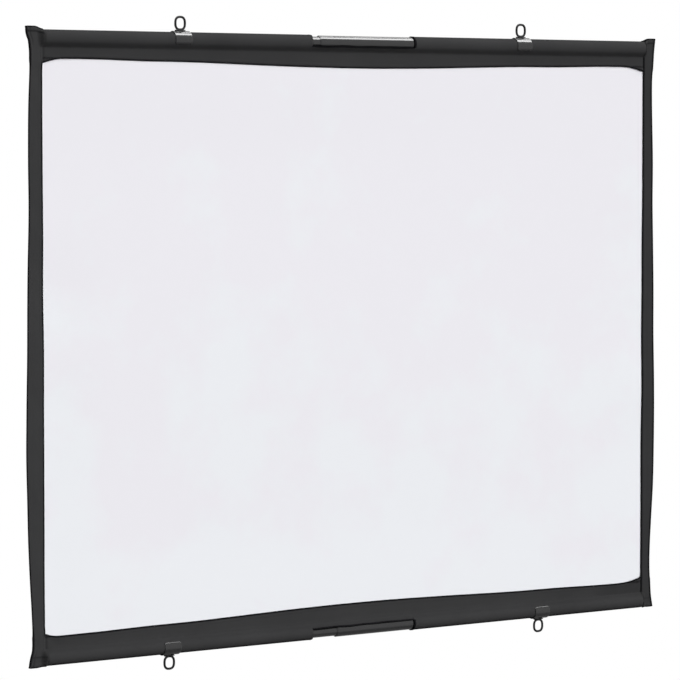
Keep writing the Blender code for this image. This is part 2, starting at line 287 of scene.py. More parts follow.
class Graph:
    """The node tree of a material or of the world, with a method for each kind of node."""

    def __init__(self, tree):
        self.nodes = tree.nodes
        self.links = tree.links

    def feed(self, socket, value):
        """Links an output to a socket, or sets a number or a colour on it."""
        if isinstance(value, bpy.types.NodeSocket):
            self.links.new(value, socket)
        elif isinstance(value, tuple):
            socket.default_value = (*value, 1)
        else:
            socket.default_value = value

    def add(self, kind, inputs):
        node = self.nodes.new(kind)
        for socket, value in inputs.items():
            self.feed(node.inputs[socket], value)
        return node

    def place(self, kind="Object"):
        return self.nodes.new("ShaderNodeTexCoord").outputs[kind]

    def split(self, vector):
        return self.add("ShaderNodeSeparateXYZ", {0: vector}).outputs

    def math(self, operation, *values):
        node = self.add("ShaderNodeMath", dict(enumerate(values)))
        node.operation = operation
        return node.outputs[0]

    def noise(self, where, scale, detail=2.0, roughness=0.5):
        return self.add("ShaderNodeTexNoise", {"Vector": where, "Scale": scale, "Detail": detail,
                                               "Roughness": roughness}).outputs["Fac"]

    def spread(self, value, low, high, from_low=0.3, from_high=0.7):
        return self.add("ShaderNodeMapRange", {"Value": value, "From Min": from_low, "From Max": from_high,
                                               "To Min": low, "To Max": high}).outputs["Result"]

    def tint(self, share, first, second):
        node = self.nodes.new("ShaderNodeMix")
        node.data_type = "RGBA"
        for socket, value in ((MIX_SHARE, share), (MIX_FIRST, first), (MIX_SECOND, second)):
            self.feed(node.inputs[socket], value)
        return node.outputs[MIX_RESULT]

    def bump(self, height, strength, distance):
        return self.add("ShaderNodeBump", {"Height": height, "Strength": strength,
                                           "Distance": distance}).outputs["Normal"]

    def shade(self, colour, rough, normal, specular):
        shader = self.nodes["Principled BSDF"]
        for socket, value in (("Base Color", colour), ("Roughness", rough), ("Normal", normal),
                              ("Specular IOR Level", specular)):
            self.feed(shader.inputs[socket], value)


def new_finish(name):
    made = bpy.data.materials.new(name)
    made.use_nodes = True
    return made, Graph(made.node_tree)


DRIFT_ABOVE = -0.6
FLECK = 0.12
CLOTH_ROUGH_SWING = 0.05
MARK_STRETCH = (8.0, 420.0, 420.0)
MARK_RANGE = (0.45, 0.8)
COAT_SMOOTHER, COAT_ROUGHER = 0.03, 0.04
MOULDED_ROUGH = (0.42, 0.55)
MOULDED_PALER = 1.6


def woven(name, pale, dark, hem, patches, lower, pitch, depth, rough, specular):
    """Woven cloth: warp and weft bumps at a pitch, uneven dye with a tone that may get paler towards the bottom,
    and painted shade mixed in from an attribute.
    """
    made, graph = new_finish(name)
    cut = graph.nodes.new("ShaderNodeUVMap")
    cut.uv_map = "cut"
    painted_shade_source = graph.nodes.new("ShaderNodeAttribute")
    painted_shade_source.attribute_name = "hem"
    place = graph.place()
    across, along = graph.split(cut.outputs["UV"])[:2]
    warp, weft = (graph.math("SINE", graph.math("MULTIPLY", way, math.pi / pitch)) for way in (across, along))
    weave = graph.math("MULTIPLY", warp, weft)
    slub = graph.noise(place, scale=600.0)
    cloudy = graph.noise(place, scale=7.0, detail=4.0, roughness=0.6)
    # The tone drifts paler towards the bottom, and also varies at random
    drift = graph.spread(graph.split(place)["Z"], lower, DRIFT_ABOVE * lower, BOTTOM_AXIS, TOP_AXIS)
    tone_share = graph.spread(graph.math("ADD", cloudy, drift), 0.0, 1.0, *patches)
    colour = graph.tint(tone_share, dark, pale)
    colour = graph.tint(graph.spread(weave, 0.0, FLECK, -1.0, 1.0), colour, dark)
    # Painted shade: the colour turns towards the shade colour where the attribute is high
    graph.shade(colour=graph.tint(painted_shade_source.outputs["Fac"], colour, hem),
                rough=graph.spread(cloudy, rough - CLOTH_ROUGH_SWING, rough + CLOTH_ROUGH_SWING),
                normal=graph.bump(graph.math("ADD", weave, slub), strength=0.35, distance=depth),
                specular=specular)
    return made


def coated(name, colour, worn, rough, specular):
    """Gloss coated steel with fine marks along the tube and a slightly uneven coat."""
    made, graph = new_finish(name)
    place = graph.place()
    stretched = graph.add("ShaderNodeMapping", {"Vector": place})
    stretched.inputs["Scale"].default_value = MARK_STRETCH
    marks = graph.noise(stretched.outputs["Vector"], scale=3.0, detail=3.0, roughness=0.6)
    cloudy = graph.noise(place, scale=35.0, detail=3.0)
    peel = graph.noise(place, scale=260.0)
    graph.shade(colour=graph.tint(graph.spread(marks, 0.0, 1.0, *MARK_RANGE), colour, worn),
                rough=graph.spread(cloudy, rough - COAT_SMOOTHER, rough + COAT_ROUGHER),
                normal=graph.bump(peel, strength=0.006, distance=0.0002), specular=specular)
    return made


def moulded(name, colour, specular):
    """Plastic or thread with a fine grain."""
    made, graph = new_finish(name)
    place = graph.place()
    cloudy = graph.noise(place, scale=90.0, detail=3.0)
    grain = graph.noise(place, scale=1800.0)
    paler = tuple(MOULDED_PALER * part for part in colour)
    graph.shade(colour=graph.tint(graph.spread(cloudy, 0.0, 0.5), colour, paler),
                rough=graph.spread(cloudy, *MOULDED_ROUGH),
                normal=graph.bump(grain, strength=0.2, distance=0.0001), specular=specular)
    return made


# The third colour of each cloth is the colour of its painted shade
WHITE = woven("white_screen_cloth", pale=(0.836, 0.852, 0.884), dark=(0.833, 0.822, 0.865), hem=(0.78, 0.77, 0.81),
              patches=(0.50, 0.66), lower=0.19, pitch=0.00045, depth=0.00004, rough=0.9, specular=0.05)
BLACK = woven("black_oxford_cloth", pale=(0.047, 0.047, 0.048), dark=(0.040, 0.040, 0.041),
              hem=(0.010, 0.010, 0.011), patches=(0.3, 0.7), lower=0.0, pitch=0.0007, depth=0.00010, rough=0.85,
              specular=0.0)
THREAD = moulded("black_thread", (0.024, 0.024, 0.025), specular=0.05)
POLE = coated("black_pole_coat", (0.009, 0.009, 0.010), worn=(0.017, 0.017, 0.017), rough=0.11, specular=0.55)
CLIP = coated("black_clip_coat", (0.009, 0.009, 0.010), worn=(0.017, 0.017, 0.017), rough=0.13, specular=0.55)
RING = coated("black_ring_coat", (0.022, 0.022, 0.023), worn=(0.032, 0.032, 0.032), rough=0.45, specular=0.06)
PLASTIC = moulded("black_moulding", (0.028, 0.028, 0.028), specular=0.4)


# White cloth

HALF_CLOTH = HALF_VIEW + TUCK
CLOTH_EDGE_DROP = 0.002
WHITE_ROWS, WHITE_COLUMNS = 84, 112
BILLOW_RISE = (0.045, 0.12)
BROAD_BILLOW = 0.0010
BROAD_LENGTH = 0.66
BROAD_PHASE = 0.5
TWIST = 2.6
TWIST_PHASE = 0.3
EDGE_BILLOW = 0.0006
EDGE_BILLOW_RISE = (0.38, 0.14)
EDGE_BILLOW_LENGTH = 0.21
EDGE_BILLOW_SHIFT = 0.7
EDGE_BILLOW_SEED = 5


def billow(x, depth):
    """How far the hanging cloth stands off its plane: nothing near the poles, most at the side edges."""
    free = step(depth, *BILLOW_RISE) * step(POLE_SPACING - depth, *BILLOW_RISE)
    broad = BROAD_BILLOW * np.sin(math.tau * depth / BROAD_LENGTH + BROAD_PHASE) * np.cos(TWIST * x + TWIST_PHASE)
    waves = ripple(depth + EDGE_BILLOW_SHIFT * np.sign(x), EDGE_BILLOW_LENGTH, EDGE_BILLOW_SEED)
    return free * (broad + EDGE_BILLOW * step(np.abs(x), *EDGE_BILLOW_RISE) * waves)


def make_white():
    top = -SEAM_OUT + CLOTH_EDGE_DROP
    depth, x = np.meshgrid(np.linspace(top, POLE_SPACING - top, WHITE_ROWS),
                           np.linspace(-HALF_CLOTH, HALF_CLOTH, WHITE_COLUMNS), indexing="ij")
    points = np.stack([x, billow(x, depth), TOP_AXIS - depth], -1)
    skin = shell(points, CLOTH / 2, CLOTH / 2, uv=np.stack([x, depth], -1), hem=np.zeros_like(x))
    return piece("white_cloth_dressed", [skin], WHITE, "screen", ["screen_cloth"])


# Pole sleeves: each is a strip folded over its pole, with a flap down each face of the white cloth

# A flap's depth, and for each lower corner how much longer it gets and over what run
TOP_FLAP = {"depth": 0.0148, "left": (0.0064, 0.038), "right": (0.0070, 0.043)}
BOTTOM_FLAP = {"depth": 0.0159, "left": (0.0042, 0.021), "right": (0.0072, 0.044)}
FLAP_SAG = 0.0075
FLAP_SAG_REACH = 0.430
FLAP_SLACK = 0.0012
FLAP_SLACK_SPOT = (0.352, 0.060)

# The ends: pressed flat past the pole, with ears that stand up at the left and right
TOP_EARS = (0.0032, 0.0032)
BOTTOM_EARS = (0.0003, -0.0009)
EAR_RISE = (HALF_VIEW - 0.0024, 0.0144)
PRESSED_RISE = (0.5050, 0.0105)
WEDGE = 0.0027
FIRM_RISE = (0.395, 0.070)
SOFT_FADE = (0.494, 0.010)

# The notch that shows the pole
NOTCH_HALF = 0.087
NOTCH_PAST_AXIS = 0.005
NOTCH_ANGLE = math.acos(-NOTCH_PAST_AXIS / SLEEVE_MIDDLE)
NOTCH_SHIFT = 0.0016
CROWN_REACH = 0.0028
CROWN_WIDTH = 0.7
LEFT_RISE = (0.05, 0.03)
LEFT_FADE = (NOTCH_HALF, 0.02)

# Where the cloth from the seam meets the round of the sleeve, as an angle from the way out
TANGENT_ANGLE = (math.pi - math.atan2(LAYER_STEP, -SEAM_OUT)
                 - math.acos(SLEEVE_MIDDLE / math.hypot(LAYER_STEP, SEAM_OUT)))

# Rows of half a section: the flap to the seam, the flank, then the round up to the notch and over it to the crown
FLAP_EVEN_ROWS = 6
FLAP_CLOSE = (0.0026, 0.0013, 0.0)
FLANK_SHARES = (0.14, 0.30, 0.48, 0.66, 0.84)
LEAD_ROWS, ROUND_ROWS = 4, 14
LEAD_END = NOTCH_ANGLE + 0.045
SEAM_ROW = len(HEM_ROWS) + FLAP_EVEN_ROWS + len(FLAP_CLOSE) - 2
FLANK_STEPS = len(FLANK_SHARES) + 1
NOTCH_ROW = SEAM_ROW + FLANK_STEPS + LEAD_ROWS

# Places along half a sleeve, as (start, stop, step), closer together at the notch's edge and at the end
PLACES_IN_NOTCH = (0.0, 0.0835, 0.0035)
PLACES_AT_NOTCH = (0.0845, 0.0858, 0.0866)
PLACES_PAST_NOTCH = ((0.0955, 0.4555, 0.0032), (0.4565, 0.4955, 0.0020), (0.4970, 0.5175, 0.0010))
LAST_PLACES = (0.5184, HALF_CLOTH, 4)

# Loose cloth
WAVE_LENGTH = 0.046
WAVE_SLANT = 0.9
WAVE_GROWTH = 1.3
WAVE_LIFT = 0.0002
WAVE_LIFT_IN_CORNER = 0.0012
WAVE_CORNER_RISE = (0.40, 0.10)
WAVE_CORNER_FADE = (0.502, 0.006)
WAVE_END = HALF_VIEW - 0.001
ON_CORNER_RISE = (0.0, 0.0020)
CURL = 0.0008
CURL_RISE = (0.0, 0.0016)
CURL_FADE = (0.5035, 0.004)
CREASE_WIDTH = 0.0013
CREASE_DEPTH = 0.0002
PUCKER = 0.00016
PUCKER_LENGTH = 0.021

# The notch's edges
MIDDLE_FADE = (0.074, 0.016)
LOWER_STAND = 0.0013
LOWER_SWING = 0.35
LOWER_LENGTH = 0.052
MOUTH_LEFT = -0.0004
MOUTH_RIGHT = 0.0006
MOUTH_FADE = (NOTCH_HALF, 0.0040)
MOUTH_SPREAD = 0.6
MOUTH_LESS_AT_CROWN = 0.6
UNEVEN = 0.0006
UNEVEN_LENGTH = 0.060

# Hems, and painted shade mixed into the cloth's colour
FLAP_HEM = 0.0004
FLAP_HEM_FADE = (HEM_DEEP, 0.0006)
SIDE_HEM = 0.00015
SIDE_HEM_FADE = (0.0042, 0.0006)
SIDE_HEM_ANGLE = NOTCH_ANGLE + 0.02
# Painted shade along the flap's hems, beside the notch's right edges and on the lips along the notch's long edges
PAINTED_HEM_SHADE_FADE = (0.0014, 0.0010)
PAINTED_NOTCH_SHADOW_FADE = (0.0024, 0.0010)
PAINTED_LIP_SHADE_RISE = (0.70, 0.10)
# A painted shadow of the left binding on the flap, and painted shade on the bottom sleeve's underside
PAINTED_BINDING_SHADOW = 0.4
PAINTED_BINDING_SHADOW_SPOT = (-HALF_VIEW + 0.0022, 0.0026)
PAINTED_UNDERSIDE_SHADE = 0.5
PAINTED_UNDERSIDE_FADE = (0.35, 0.6)
SEAM_END = HALF_VIEW - 0.002
NOTCH_SEAM_END = NOTCH_HALF + 0.001
NOTCH_SEAM_ROW = NOTCH_ROW - 2


def flap_sweep(x, flap):
    """How much longer the flap gets in its two lower corners."""
    corner, run = (np.where(x < 0, left, right) for left, right in zip(flap["left"], flap["right"]))
    return corner * np.maximum((np.minimum(np.abs(x), HALF_VIEW) - HALF_VIEW + run) / run, 0) ** 2


def flap_length(x, flap):
    reach = np.minimum(np.abs(x), FLAP_SAG_REACH)
    sag = FLAP_SAG * np.cos(math.pi / 2 * reach / FLAP_SAG_REACH) ** 2
    slack = FLAP_SLACK * bell(np.abs(x), *FLAP_SLACK_SPOT)
    return flap["depth"] + sag + slack + flap_sweep(x, flap)


def ear_rise(x, ears):
    return np.where(x < 0, *ears) * step(np.abs(x), *EAR_RISE)


def wedge(out, crown):
    """How the flattened cloth closes towards its folded edge, from 1 to 0."""
    return np.sqrt(1 - np.clip((out - crown + WEDGE) / WEDGE, 0, 1) ** 2)


def bulge(x, out, ears, above):
    """How far a layer that lies above the sleeve's middle stands from the screen's plane."""
    pressed = step(np.abs(x), *PRESSED_RISE)
    radius = SLEEVE_MIDDLE + above
    near = LAYER_STEP + above
    crown = radius + pressed * ear_rise(x, ears)
    level = SEAM_OUT + np.clip((out - SEAM_OUT) / (crown - SEAM_OUT), 0, 1) * (radius - SEAM_OUT)
    leave_y = radius * math.sin(TANGENT_ANGLE)
    leave_out = radius * math.cos(TANGENT_ANGLE)
    flank = near + (leave_y - near) * (level - SEAM_OUT) / (leave_out - SEAM_OUT)
    arc = np.sqrt(np.maximum(radius ** 2 - level ** 2, 0))
    return (1 - pressed) * np.where(level < leave_out, flank, arc) + pressed * near * wedge(out, crown)


def sleeve_places():
    half = np.concatenate([np.arange(*PLACES_IN_NOTCH), PLACES_AT_NOTCH, NOTCH_HALF + np.array(HEM_ROWS),
                           *(np.arange(*run) for run in PLACES_PAST_NOTCH), np.linspace(*LAST_PLACES)])
    return np.concatenate([-half[:0:-1], half])


def firm_end(x, pair):
    """A value that changes towards the right end of a sleeve."""
    return pair[0] + (pair[1] - pair[0]) * step(x, *FIRM_RISE)


def sleeve_half(x, ears, flap, soft):
    """Half the sleeve's section at each place: how far its rows stand from the screen's plane and out from the
    axis, their angle round the pole and their distance from the flap's free edge."""
    length = flap_length(x, flap)
    from_edge = edge_rows(length, FLAP_EVEN_ROWS, FLAP_CLOSE)
    flap_y = LAYER_STEP + 0 * from_edge
    flap_out = SEAM_OUT - length + from_edge

    # The flank and the round over the pole, pressed flat towards the sleeve's ends
    start = np.array([LAYER_STEP, SEAM_OUT])
    leave = SLEEVE_MIDDLE * np.array([math.sin(TANGENT_ANGLE), math.cos(TANGENT_ANGLE)])
    flank = start + (leave - start) * np.array(FLANK_SHARES)[:, None]
    angle = np.concatenate([np.linspace(TANGENT_ANGLE, LEAD_END, LEAD_ROWS),
                            np.linspace(NOTCH_ANGLE, 0, ROUND_ROWS)])
    full = np.concatenate([flank, SLEEVE_MIDDLE * np.stack([np.sin(angle), np.cos(angle)], -1)])
    gone = run_lengths(np.concatenate([start[None], full])[None])[0, 1:]
    crown = SLEEVE_MIDDLE + ear_rise(x, ears)
    flat_out = SEAM_OUT + gone / gone[-1] * (crown - SEAM_OUT)
    flat_y = LAYER_STEP * wedge(flat_out, crown)
    pressed = step(np.abs(x), *PRESSED_RISE)
    round_y = full[:, 0] + (flat_y - full[:, 0]) * pressed
    round_out = full[:, 1] + (flat_out - full[:, 1]) * pressed

    # The corner at the seam, rounded
    soft = firm_end(x, soft)
    from_seam = np.concatenate([length - from_edge, gone + 0 * length], 1)
    turned = soft * (np.maximum(1 - from_seam / soft, 0) / 2) ** 2 * fade(np.abs(x), *SOFT_FADE)
    ahead = unit(leave - start)
    y = np.concatenate([flap_y, round_y], 1) + turned * ahead[0]
    out = np.concatenate([flap_out, round_out], 1) + turned * (ahead[1] - 1)
    angle = np.concatenate([np.full(SEAM_ROW + FLANK_STEPS, OFF_ROUND), angle])
    edge = np.concatenate([from_edge, np.full_like(round_y, FAR_FROM_EDGE)], 1)
    return y, out, angle, edge


def mirrored(half):
    """Both halves of a section, which meet at the crown."""
    return np.concatenate([half, half[..., -2::-1]], -1)


def sleeve_grid(ears, flap, soft):
    """A grid over the sleeve: places along it, by rows from the front flap's edge over the crown to the back's."""
    x = sleeve_places()
    y, out, angle, edge = sleeve_half(x[:, None], ears, flap, soft)
    half = len(angle)
    grid = SimpleNamespace(x=x, out=mirrored(out), angle=mirrored(angle), edge=mirrored(edge))
    grid.row = mirrored(np.arange(half))
    # 1 on the back, where waves are shifted so that they differ from the front's
    grid.back = np.repeat([0, 1], [half, half - 1])
    grid.y = mirrored(y) * np.where(grid.back, 1, -1)
    grid.across = x[:, None] + 0 * grid.y
    grid.far = np.abs(grid.across)
    grid.right = grid.across > 0
    grid.on_flap = grid.row <= SEAM_ROW
    grid.from_seam = np.clip((SEAM_OUT - grid.out) / flap_length(grid.across, flap), 0, 1) * grid.on_flap
    grid.sweep = flap_sweep(grid.across, flap)
    grid.on_corner = step(grid.sweep, *ON_CORNER_RISE) * grid.on_flap
    grid.crease = grid.on_corner * bell(grid.edge, grid.sweep, CREASE_WIDTH)
    grid.to_notch = np.clip((grid.row - SEAM_ROW) / (NOTCH_ROW - SEAM_ROW), 0, 1)
    grid.middle = fade(grid.far, *MIDDLE_FADE)
    grid.in_notch = grid.far <= NOTCH_HALF + TINY
    grid.over_notch = grid.angle <= NOTCH_ANGLE + TINY
    grid.below_notch = grid.angle >= NOTCH_ANGLE - TINY
    grid.past_notch = grid.far - NOTCH_HALF
    grid.beside_notch = (grid.past_notch > -TINY) & (grid.angle <= SIDE_HEM_ANGLE)
    return grid


def loose_lift(grid, seed):
    """The flap waves outwards, more in its corners, which curl, and the flank puckers along the seam."""
    corner = step(grid.far, *WAVE_CORNER_RISE) * fade(grid.far, *WAVE_CORNER_FADE)
    slant = grid.across + WAVE_SLANT * np.sign(grid.across) * (grid.out - SEAM_OUT)
    height = (WAVE_LIFT + WAVE_LIFT_IN_CORNER * corner) * grid.from_seam ** WAVE_GROWTH * (grid.far < WAVE_END)
    waves = height * (0.5 + 0.5 * ripple(slant + 3 * grid.back, WAVE_LENGTH, seed))
    curl = CURL * fade(grid.far, *CURL_FADE) * grid.on_corner * step(grid.sweep - grid.edge, *CURL_RISE)
    flank = np.sin(math.pi * np.clip((grid.row - SEAM_ROW) / FLANK_STEPS, 0, 1)) * fade(grid.far, *PRESSED_RISE)
    pucker = PUCKER * flank * ripple(grid.across + 2 * grid.back, PUCKER_LENGTH, seed + 1)
    return waves + curl + pucker


def notch_lift(grid, seed):
    """The notch's lower edges stand off the tube in waves, its left edge hugs it and its right edge gapes."""
    waves = 1 + LOWER_SWING * ripple(grid.across + grid.back, LOWER_LENGTH, seed + 2)
    lower = LOWER_STAND * grid.to_notch ** 2 * grid.middle * waves
    near = fade(grid.far, *MOUTH_FADE) * (grid.angle < NOTCH_ANGLE + MOUTH_SPREAD) * ~grid.in_notch
    on_edge = (np.abs(grid.past_notch) < TINY) & grid.over_notch
    gape = np.where(grid.right, MOUTH_RIGHT * (1 - MOUTH_LESS_AT_CROWN * np.cos(grid.angle)), MOUTH_LEFT)
    return lower + gape * np.maximum(near, on_edge)


def sleeve_points(grid, axis, out_way, seed):
    at_left = step(-grid.across, *LEFT_RISE) * fade(-grid.across, *LEFT_FADE)
    shift = (NOTCH_SHIFT + CROWN_REACH * bell(grid.angle, 0, CROWN_WIDTH)) * at_left
    points = np.stack([grid.across + shift, grid.y, axis + out_way * grid.out], -1)
    lift = loose_lift(grid, seed) + notch_lift(grid, seed)
    uneven = UNEVEN * ripple(grid.across + 2 * grid.back, UNEVEN_LENGTH, seed + 3)
    uneven = uneven * grid.to_notch ** 3 * grid.middle * grid.below_notch
    way = unit(np.gradient(points, axis=1)) * np.where(grid.back, -1, 1)[:, None]
    return points + grid_normals(points, out_way) * lift[..., None] + way * uneven[..., None]


def sleeve_thickness(grid):
    """How far the outside lies from the middle: hems are thicker, with a groove under the stitches."""
    hem = FLAP_HEM * fade(grid.edge, *FLAP_HEM_FADE) - GROOVE_DEPTH * bell(grid.edge, *GROOVE_SPOT)
    side_hem = SIDE_HEM * fade(grid.past_notch, *SIDE_HEM_FADE) * grid.beside_notch
    return CLOTH / 2 + hem + side_hem - CREASE_DEPTH * grid.crease


def sleeve_painted_shade(grid, painted_shade_amount, out_way):
    """Painted shade mixed into the cloth's colour: along the flap's hems and creases, a painted shadow beside the
    left binding, darker flaps, a painted shadow beside the notch's right edges, darker lips along the notch's long
    edges and shade on the bottom sleeve's underside.
    """
    shadow_by_binding = PAINTED_BINDING_SHADOW * bell(grid.across, *PAINTED_BINDING_SHADOW_SPOT)
    underside = PAINTED_UNDERSIDE_SHADE * (out_way < 0) * fade(grid.angle, *PAINTED_UNDERSIDE_FADE)
    return largest(fade(grid.edge, *PAINTED_HEM_SHADE_FADE), grid.crease, underside,
                   np.maximum(shadow_by_binding, firm_end(grid.across, painted_shade_amount)) * grid.on_flap,
                   fade(grid.past_notch, *PAINTED_NOTCH_SHADOW_FADE) * grid.right * grid.beside_notch,
                   step(grid.to_notch, *PAINTED_LIP_SHADE_RISE) * grid.in_notch * grid.below_notch)


def sleeve_seams(grid, skin):
    """Stitches along both flap hems, both seams and round the notch."""
    far = np.abs(grid.x)
    last = len(grid.row) - 1
    paths = [seam(skin, far < SEAM_END, row) for row in (HEM_STITCH, SEAM_ROW, last - SEAM_ROW, last - HEM_STITCH)]
    paths += [seam(skin, far < NOTCH_SEAM_END, row) for row in (NOTCH_SEAM_ROW, last - NOTCH_SEAM_ROW)]
    for way in (-1, 1):
        place = np.argmin(np.abs(grid.x - way * (NOTCH_HALF + HEM_ROWS[HEM_STITCH])))
        paths.append(seam(skin, place, slice(NOTCH_ROW, last - NOTCH_ROW + 1)))
    return paths


def make_sleeve(level, axis, out_way, ears, flap, soft, painted_shade_amount, seed):
    grid = sleeve_grid(ears, flap, soft)
    points = sleeve_points(grid, axis, out_way, seed)
    length = run_lengths(points)
    open_place = grid.in_notch[:, :1]
    keep = ~(open_place[:-1] & open_place[1:] & grid.over_notch[:-1] & grid.over_notch[1:])
    # The attribute gives the cloth its painted shade
    skin = shell(points, sleeve_thickness(grid), CLOTH / 2, out_way, keep,
                 uv=np.stack([grid.across, length], -1), hem=sleeve_painted_shade(grid, painted_shade_amount, out_way))
    name = level + "_sleeve_dressed"
    cloth = piece(name, [skin], BLACK, "screen", [level + "_sleeve"])
    thread = piece(name + "_thread", [stitches(sleeve_seams(grid, skin))], THREAD, "screen")


# Side bindings: each is folded round the side edge and over the ends of the sleeves

# Width by depth
LEFT_WIDTHS = ((-0.0104, 0.0240), (-0.001, 0.0224), (0.004, 0.0199), (0.0085, 0.0191), (0.0166, 0.0182),
               (0.031, 0.0181), (0.084, 0.0199), (0.160, 0.0209), (0.215, 0.0206), (0.294, 0.0222),
               (0.331, 0.0226), (0.400, 0.0241), (0.500, 0.0256), (0.550, 0.0262), (0.610, 0.0249),
               (0.660, 0.0239), (0.715, 0.0213), (0.757, 0.0191), (0.790, 0.0179), (0.8035, 0.0179),
               (0.8105, 0.0188), (0.8150, 0.0203), (0.8294, 0.0235))
RIGHT_WIDTHS = ((-0.0104, 0.0229), (0.006, 0.0205), (0.018, 0.0197), (0.048, 0.0179), (0.077, 0.0179),
                (0.107, 0.0185), (0.167, 0.0200), (0.226, 0.0197), (0.286, 0.0216), (0.375, 0.0230),
                (0.440, 0.0236), (0.490, 0.0240), (0.584, 0.0253), (0.643, 0.0238), (0.702, 0.0200),
                (0.735, 0.0181), (0.762, 0.0175), (0.792, 0.0184), (0.812, 0.0198), (0.822, 0.0214),
                (0.8294, 0.0229))
BINDING_PAST = 0.0006
BINDING_START = -SLEEVE_OUTER - BINDING_PAST
BINDING_STOP = POLE_SPACING + SLEEVE_OUTER + BINDING_PAST

# Rows down the binding, as (start, stop, step) from each end and evenly between, and rows across half of it
END_DEPTHS = (0.0072, 0.0400, 0.0016)
EVEN_DEPTHS_FROM = 0.0420
EVEN_DEPTHS = 190
BINDING_EVEN_ROWS = 7
BINDING_CLOSE = (0.0034, 0.0024, 0.0015, 0.0007, 0.0)
FOLD_TURNS = np.radians((60.0, 30.0, 0.0, -30.0, -60.0))

# How it lies
BINDING_TAPER = 0.010
BINDING_CLEAR = 0.0001
END_FADE_RUN = 0.020
TOP_TUCK, TOP_TUCK_RUN = 0.0007, 0.008
BOTTOM_TUCK, BOTTOM_TUCK_RUN = 0.0010, 0.014
PUFF = 0.00045
PUFF_LEAST = 0.4
PUFF_SLANT = 0.8
FRONT_PUFF_LENGTH = 0.055
BACK_PUFF_LENGTH = 0.063

# Hems, and painted shade mixed into the cloth's colour
BINDING_HEM = 0.0005
BINDING_HEM_FADE = (HEM_DEEP, 0.0005)
FOLD_HEM_FADE = (0.0032, 0.0005)
ON_FLAP_START, ON_FLAP_RUN = 0.001, 0.003
ON_BULGE_RISE = (SEAM_OUT - 0.002, 0.004)
ON_EAR_RISE = (-0.014, 0.010)
# Painted shade along the edges, ends and fold, and painted shadow lines inside the end hems and along the ears'
# folds
PAINTED_EDGE_SHADE_FADE = (0.0016, 0.0012)
PAINTED_END_SHADE_FADE = (0.0010, 0.0010)
PAINTED_FOLD_SHADE_LEFT, PAINTED_FOLD_SHADE_RIGHT, PAINTED_FOLD_SHADE_RUN = 0.0008, 0.0036, 0.0012
TOP_PAINTED_HEM_LINE, BOTTOM_PAINTED_HEM_LINE = 0.0054, 0.0130
PAINTED_HEM_LINE_SHADE, PAINTED_HEM_LINE_WIDTH = 0.8, 0.0009
PAINTED_EAR_LINE_SHADE = 0.55
PAINTED_EAR_LINE_SPOT = (0.0050, 0.0008)
END_STITCHES_SKIPPED = 3


def binding_depths():
    end = np.concatenate([HEM_ROWS, np.arange(*END_DEPTHS)])
    middle = np.linspace(BINDING_START + EVEN_DEPTHS_FROM, BINDING_STOP - EVEN_DEPTHS_FROM, EVEN_DEPTHS)
    return np.concatenate([BINDING_START + end, middle, (BINDING_STOP - end)[::-1]])


def end_rise(far, side, depth):
    """How far the binding's ends reach up or down at the ears."""
    top = ear_rise(side * far, TOP_EARS) - TOP_TUCK * fade(far, HALF_VIEW, TOP_TUCK_RUN)
    bottom = ear_rise(side * far, BOTTOM_EARS) - BOTTOM_TUCK * fade(far, HALF_VIEW, BOTTOM_TUCK_RUN)
    return top * fade(depth, BINDING_START, END_FADE_RUN) - bottom * fade(BINDING_STOP - depth, 0, END_FADE_RUN)


def binding_grid(side, widths, seed):
    """A grid over the binding: depths down it, by rows from its front edge round the fold to its back edge."""
    depth = binding_depths()[:, None]
    upper = depth < POLE_SPACING / 2
    past = np.maximum(-depth, depth - POLE_SPACING)
    corner = np.array(side * HALF_VIEW)
    flap_edge = SEAM_OUT - GAP - np.where(upper, flap_length(corner, TOP_FLAP), flap_length(corner, BOTTOM_FLAP))
    width = curve(widths, np.clip(depth, widths[0][0], widths[-1][0]))
    layer = LAYER_STEP * (1 + step(past, flap_edge - BINDING_TAPER, BINDING_TAPER))
    bend = width - CLOTH / 2 - layer

    # Each half lies on the white cloth, on the flap or on the round of the sleeve, and puffs up a little
    wide = edge_rows(bend, BINDING_EVEN_ROWS, BINDING_CLOSE)
    rise = end_rise(HALF_VIEW + wide, side, depth)
    out = np.where(upper, rise - depth, depth - POLE_SPACING - rise)
    place, above = side * (HALF_VIEW + wide), LAYER_STEP + BINDING_CLEAR
    on_sleeve = np.where(upper, bulge(place, out, TOP_EARS, above), bulge(place, out, BOTTOM_EARS, above))
    lying = np.where(out > SEAM_OUT, np.maximum(on_sleeve, CLOTH / 2 + BINDING_CLEAR), layer)
    puff = PUFF * np.sin(math.pi * np.clip(wide / width, 0, 1))
    slant = depth + PUFF_SLANT * wide
    front = lying + puff * (PUFF_LEAST + 0.5 + 0.5 * ripple(slant, FRONT_PUFF_LENGTH, seed))
    back = lying + puff * (PUFF_LEAST + 0.5 + 0.5 * ripple(slant, BACK_PUFF_LENGTH, seed + 1))

    fold_x = bend + layer * np.cos(FOLD_TURNS)
    fold_y = -layer * np.sin(FOLD_TURNS)
    across = np.concatenate([wide, fold_x, wide[:, ::-1]], 1)
    y = np.concatenate([-front, fold_y, back[:, ::-1]], 1)
    x = HALF_VIEW + across
    grid = SimpleNamespace(side=side, depth=depth, upper=upper, past=past, half=wide.shape[1])
    z = TOP_AXIS - depth + end_rise(x, side, depth)
    grid.points = np.stack([side * x, y + billow(side * x, depth), z], -1)
    grid.from_edge = np.concatenate([wide, np.full_like(fold_x, FAR_FROM_EDGE), wide[:, ::-1]], 1)
    grid.from_fold = width - across
    grid.from_end = np.minimum(depth - BINDING_START, BINDING_STOP - depth) + 0 * across
    grid.on_flap = step(past, flap_edge + ON_FLAP_START, ON_FLAP_RUN)
    return grid


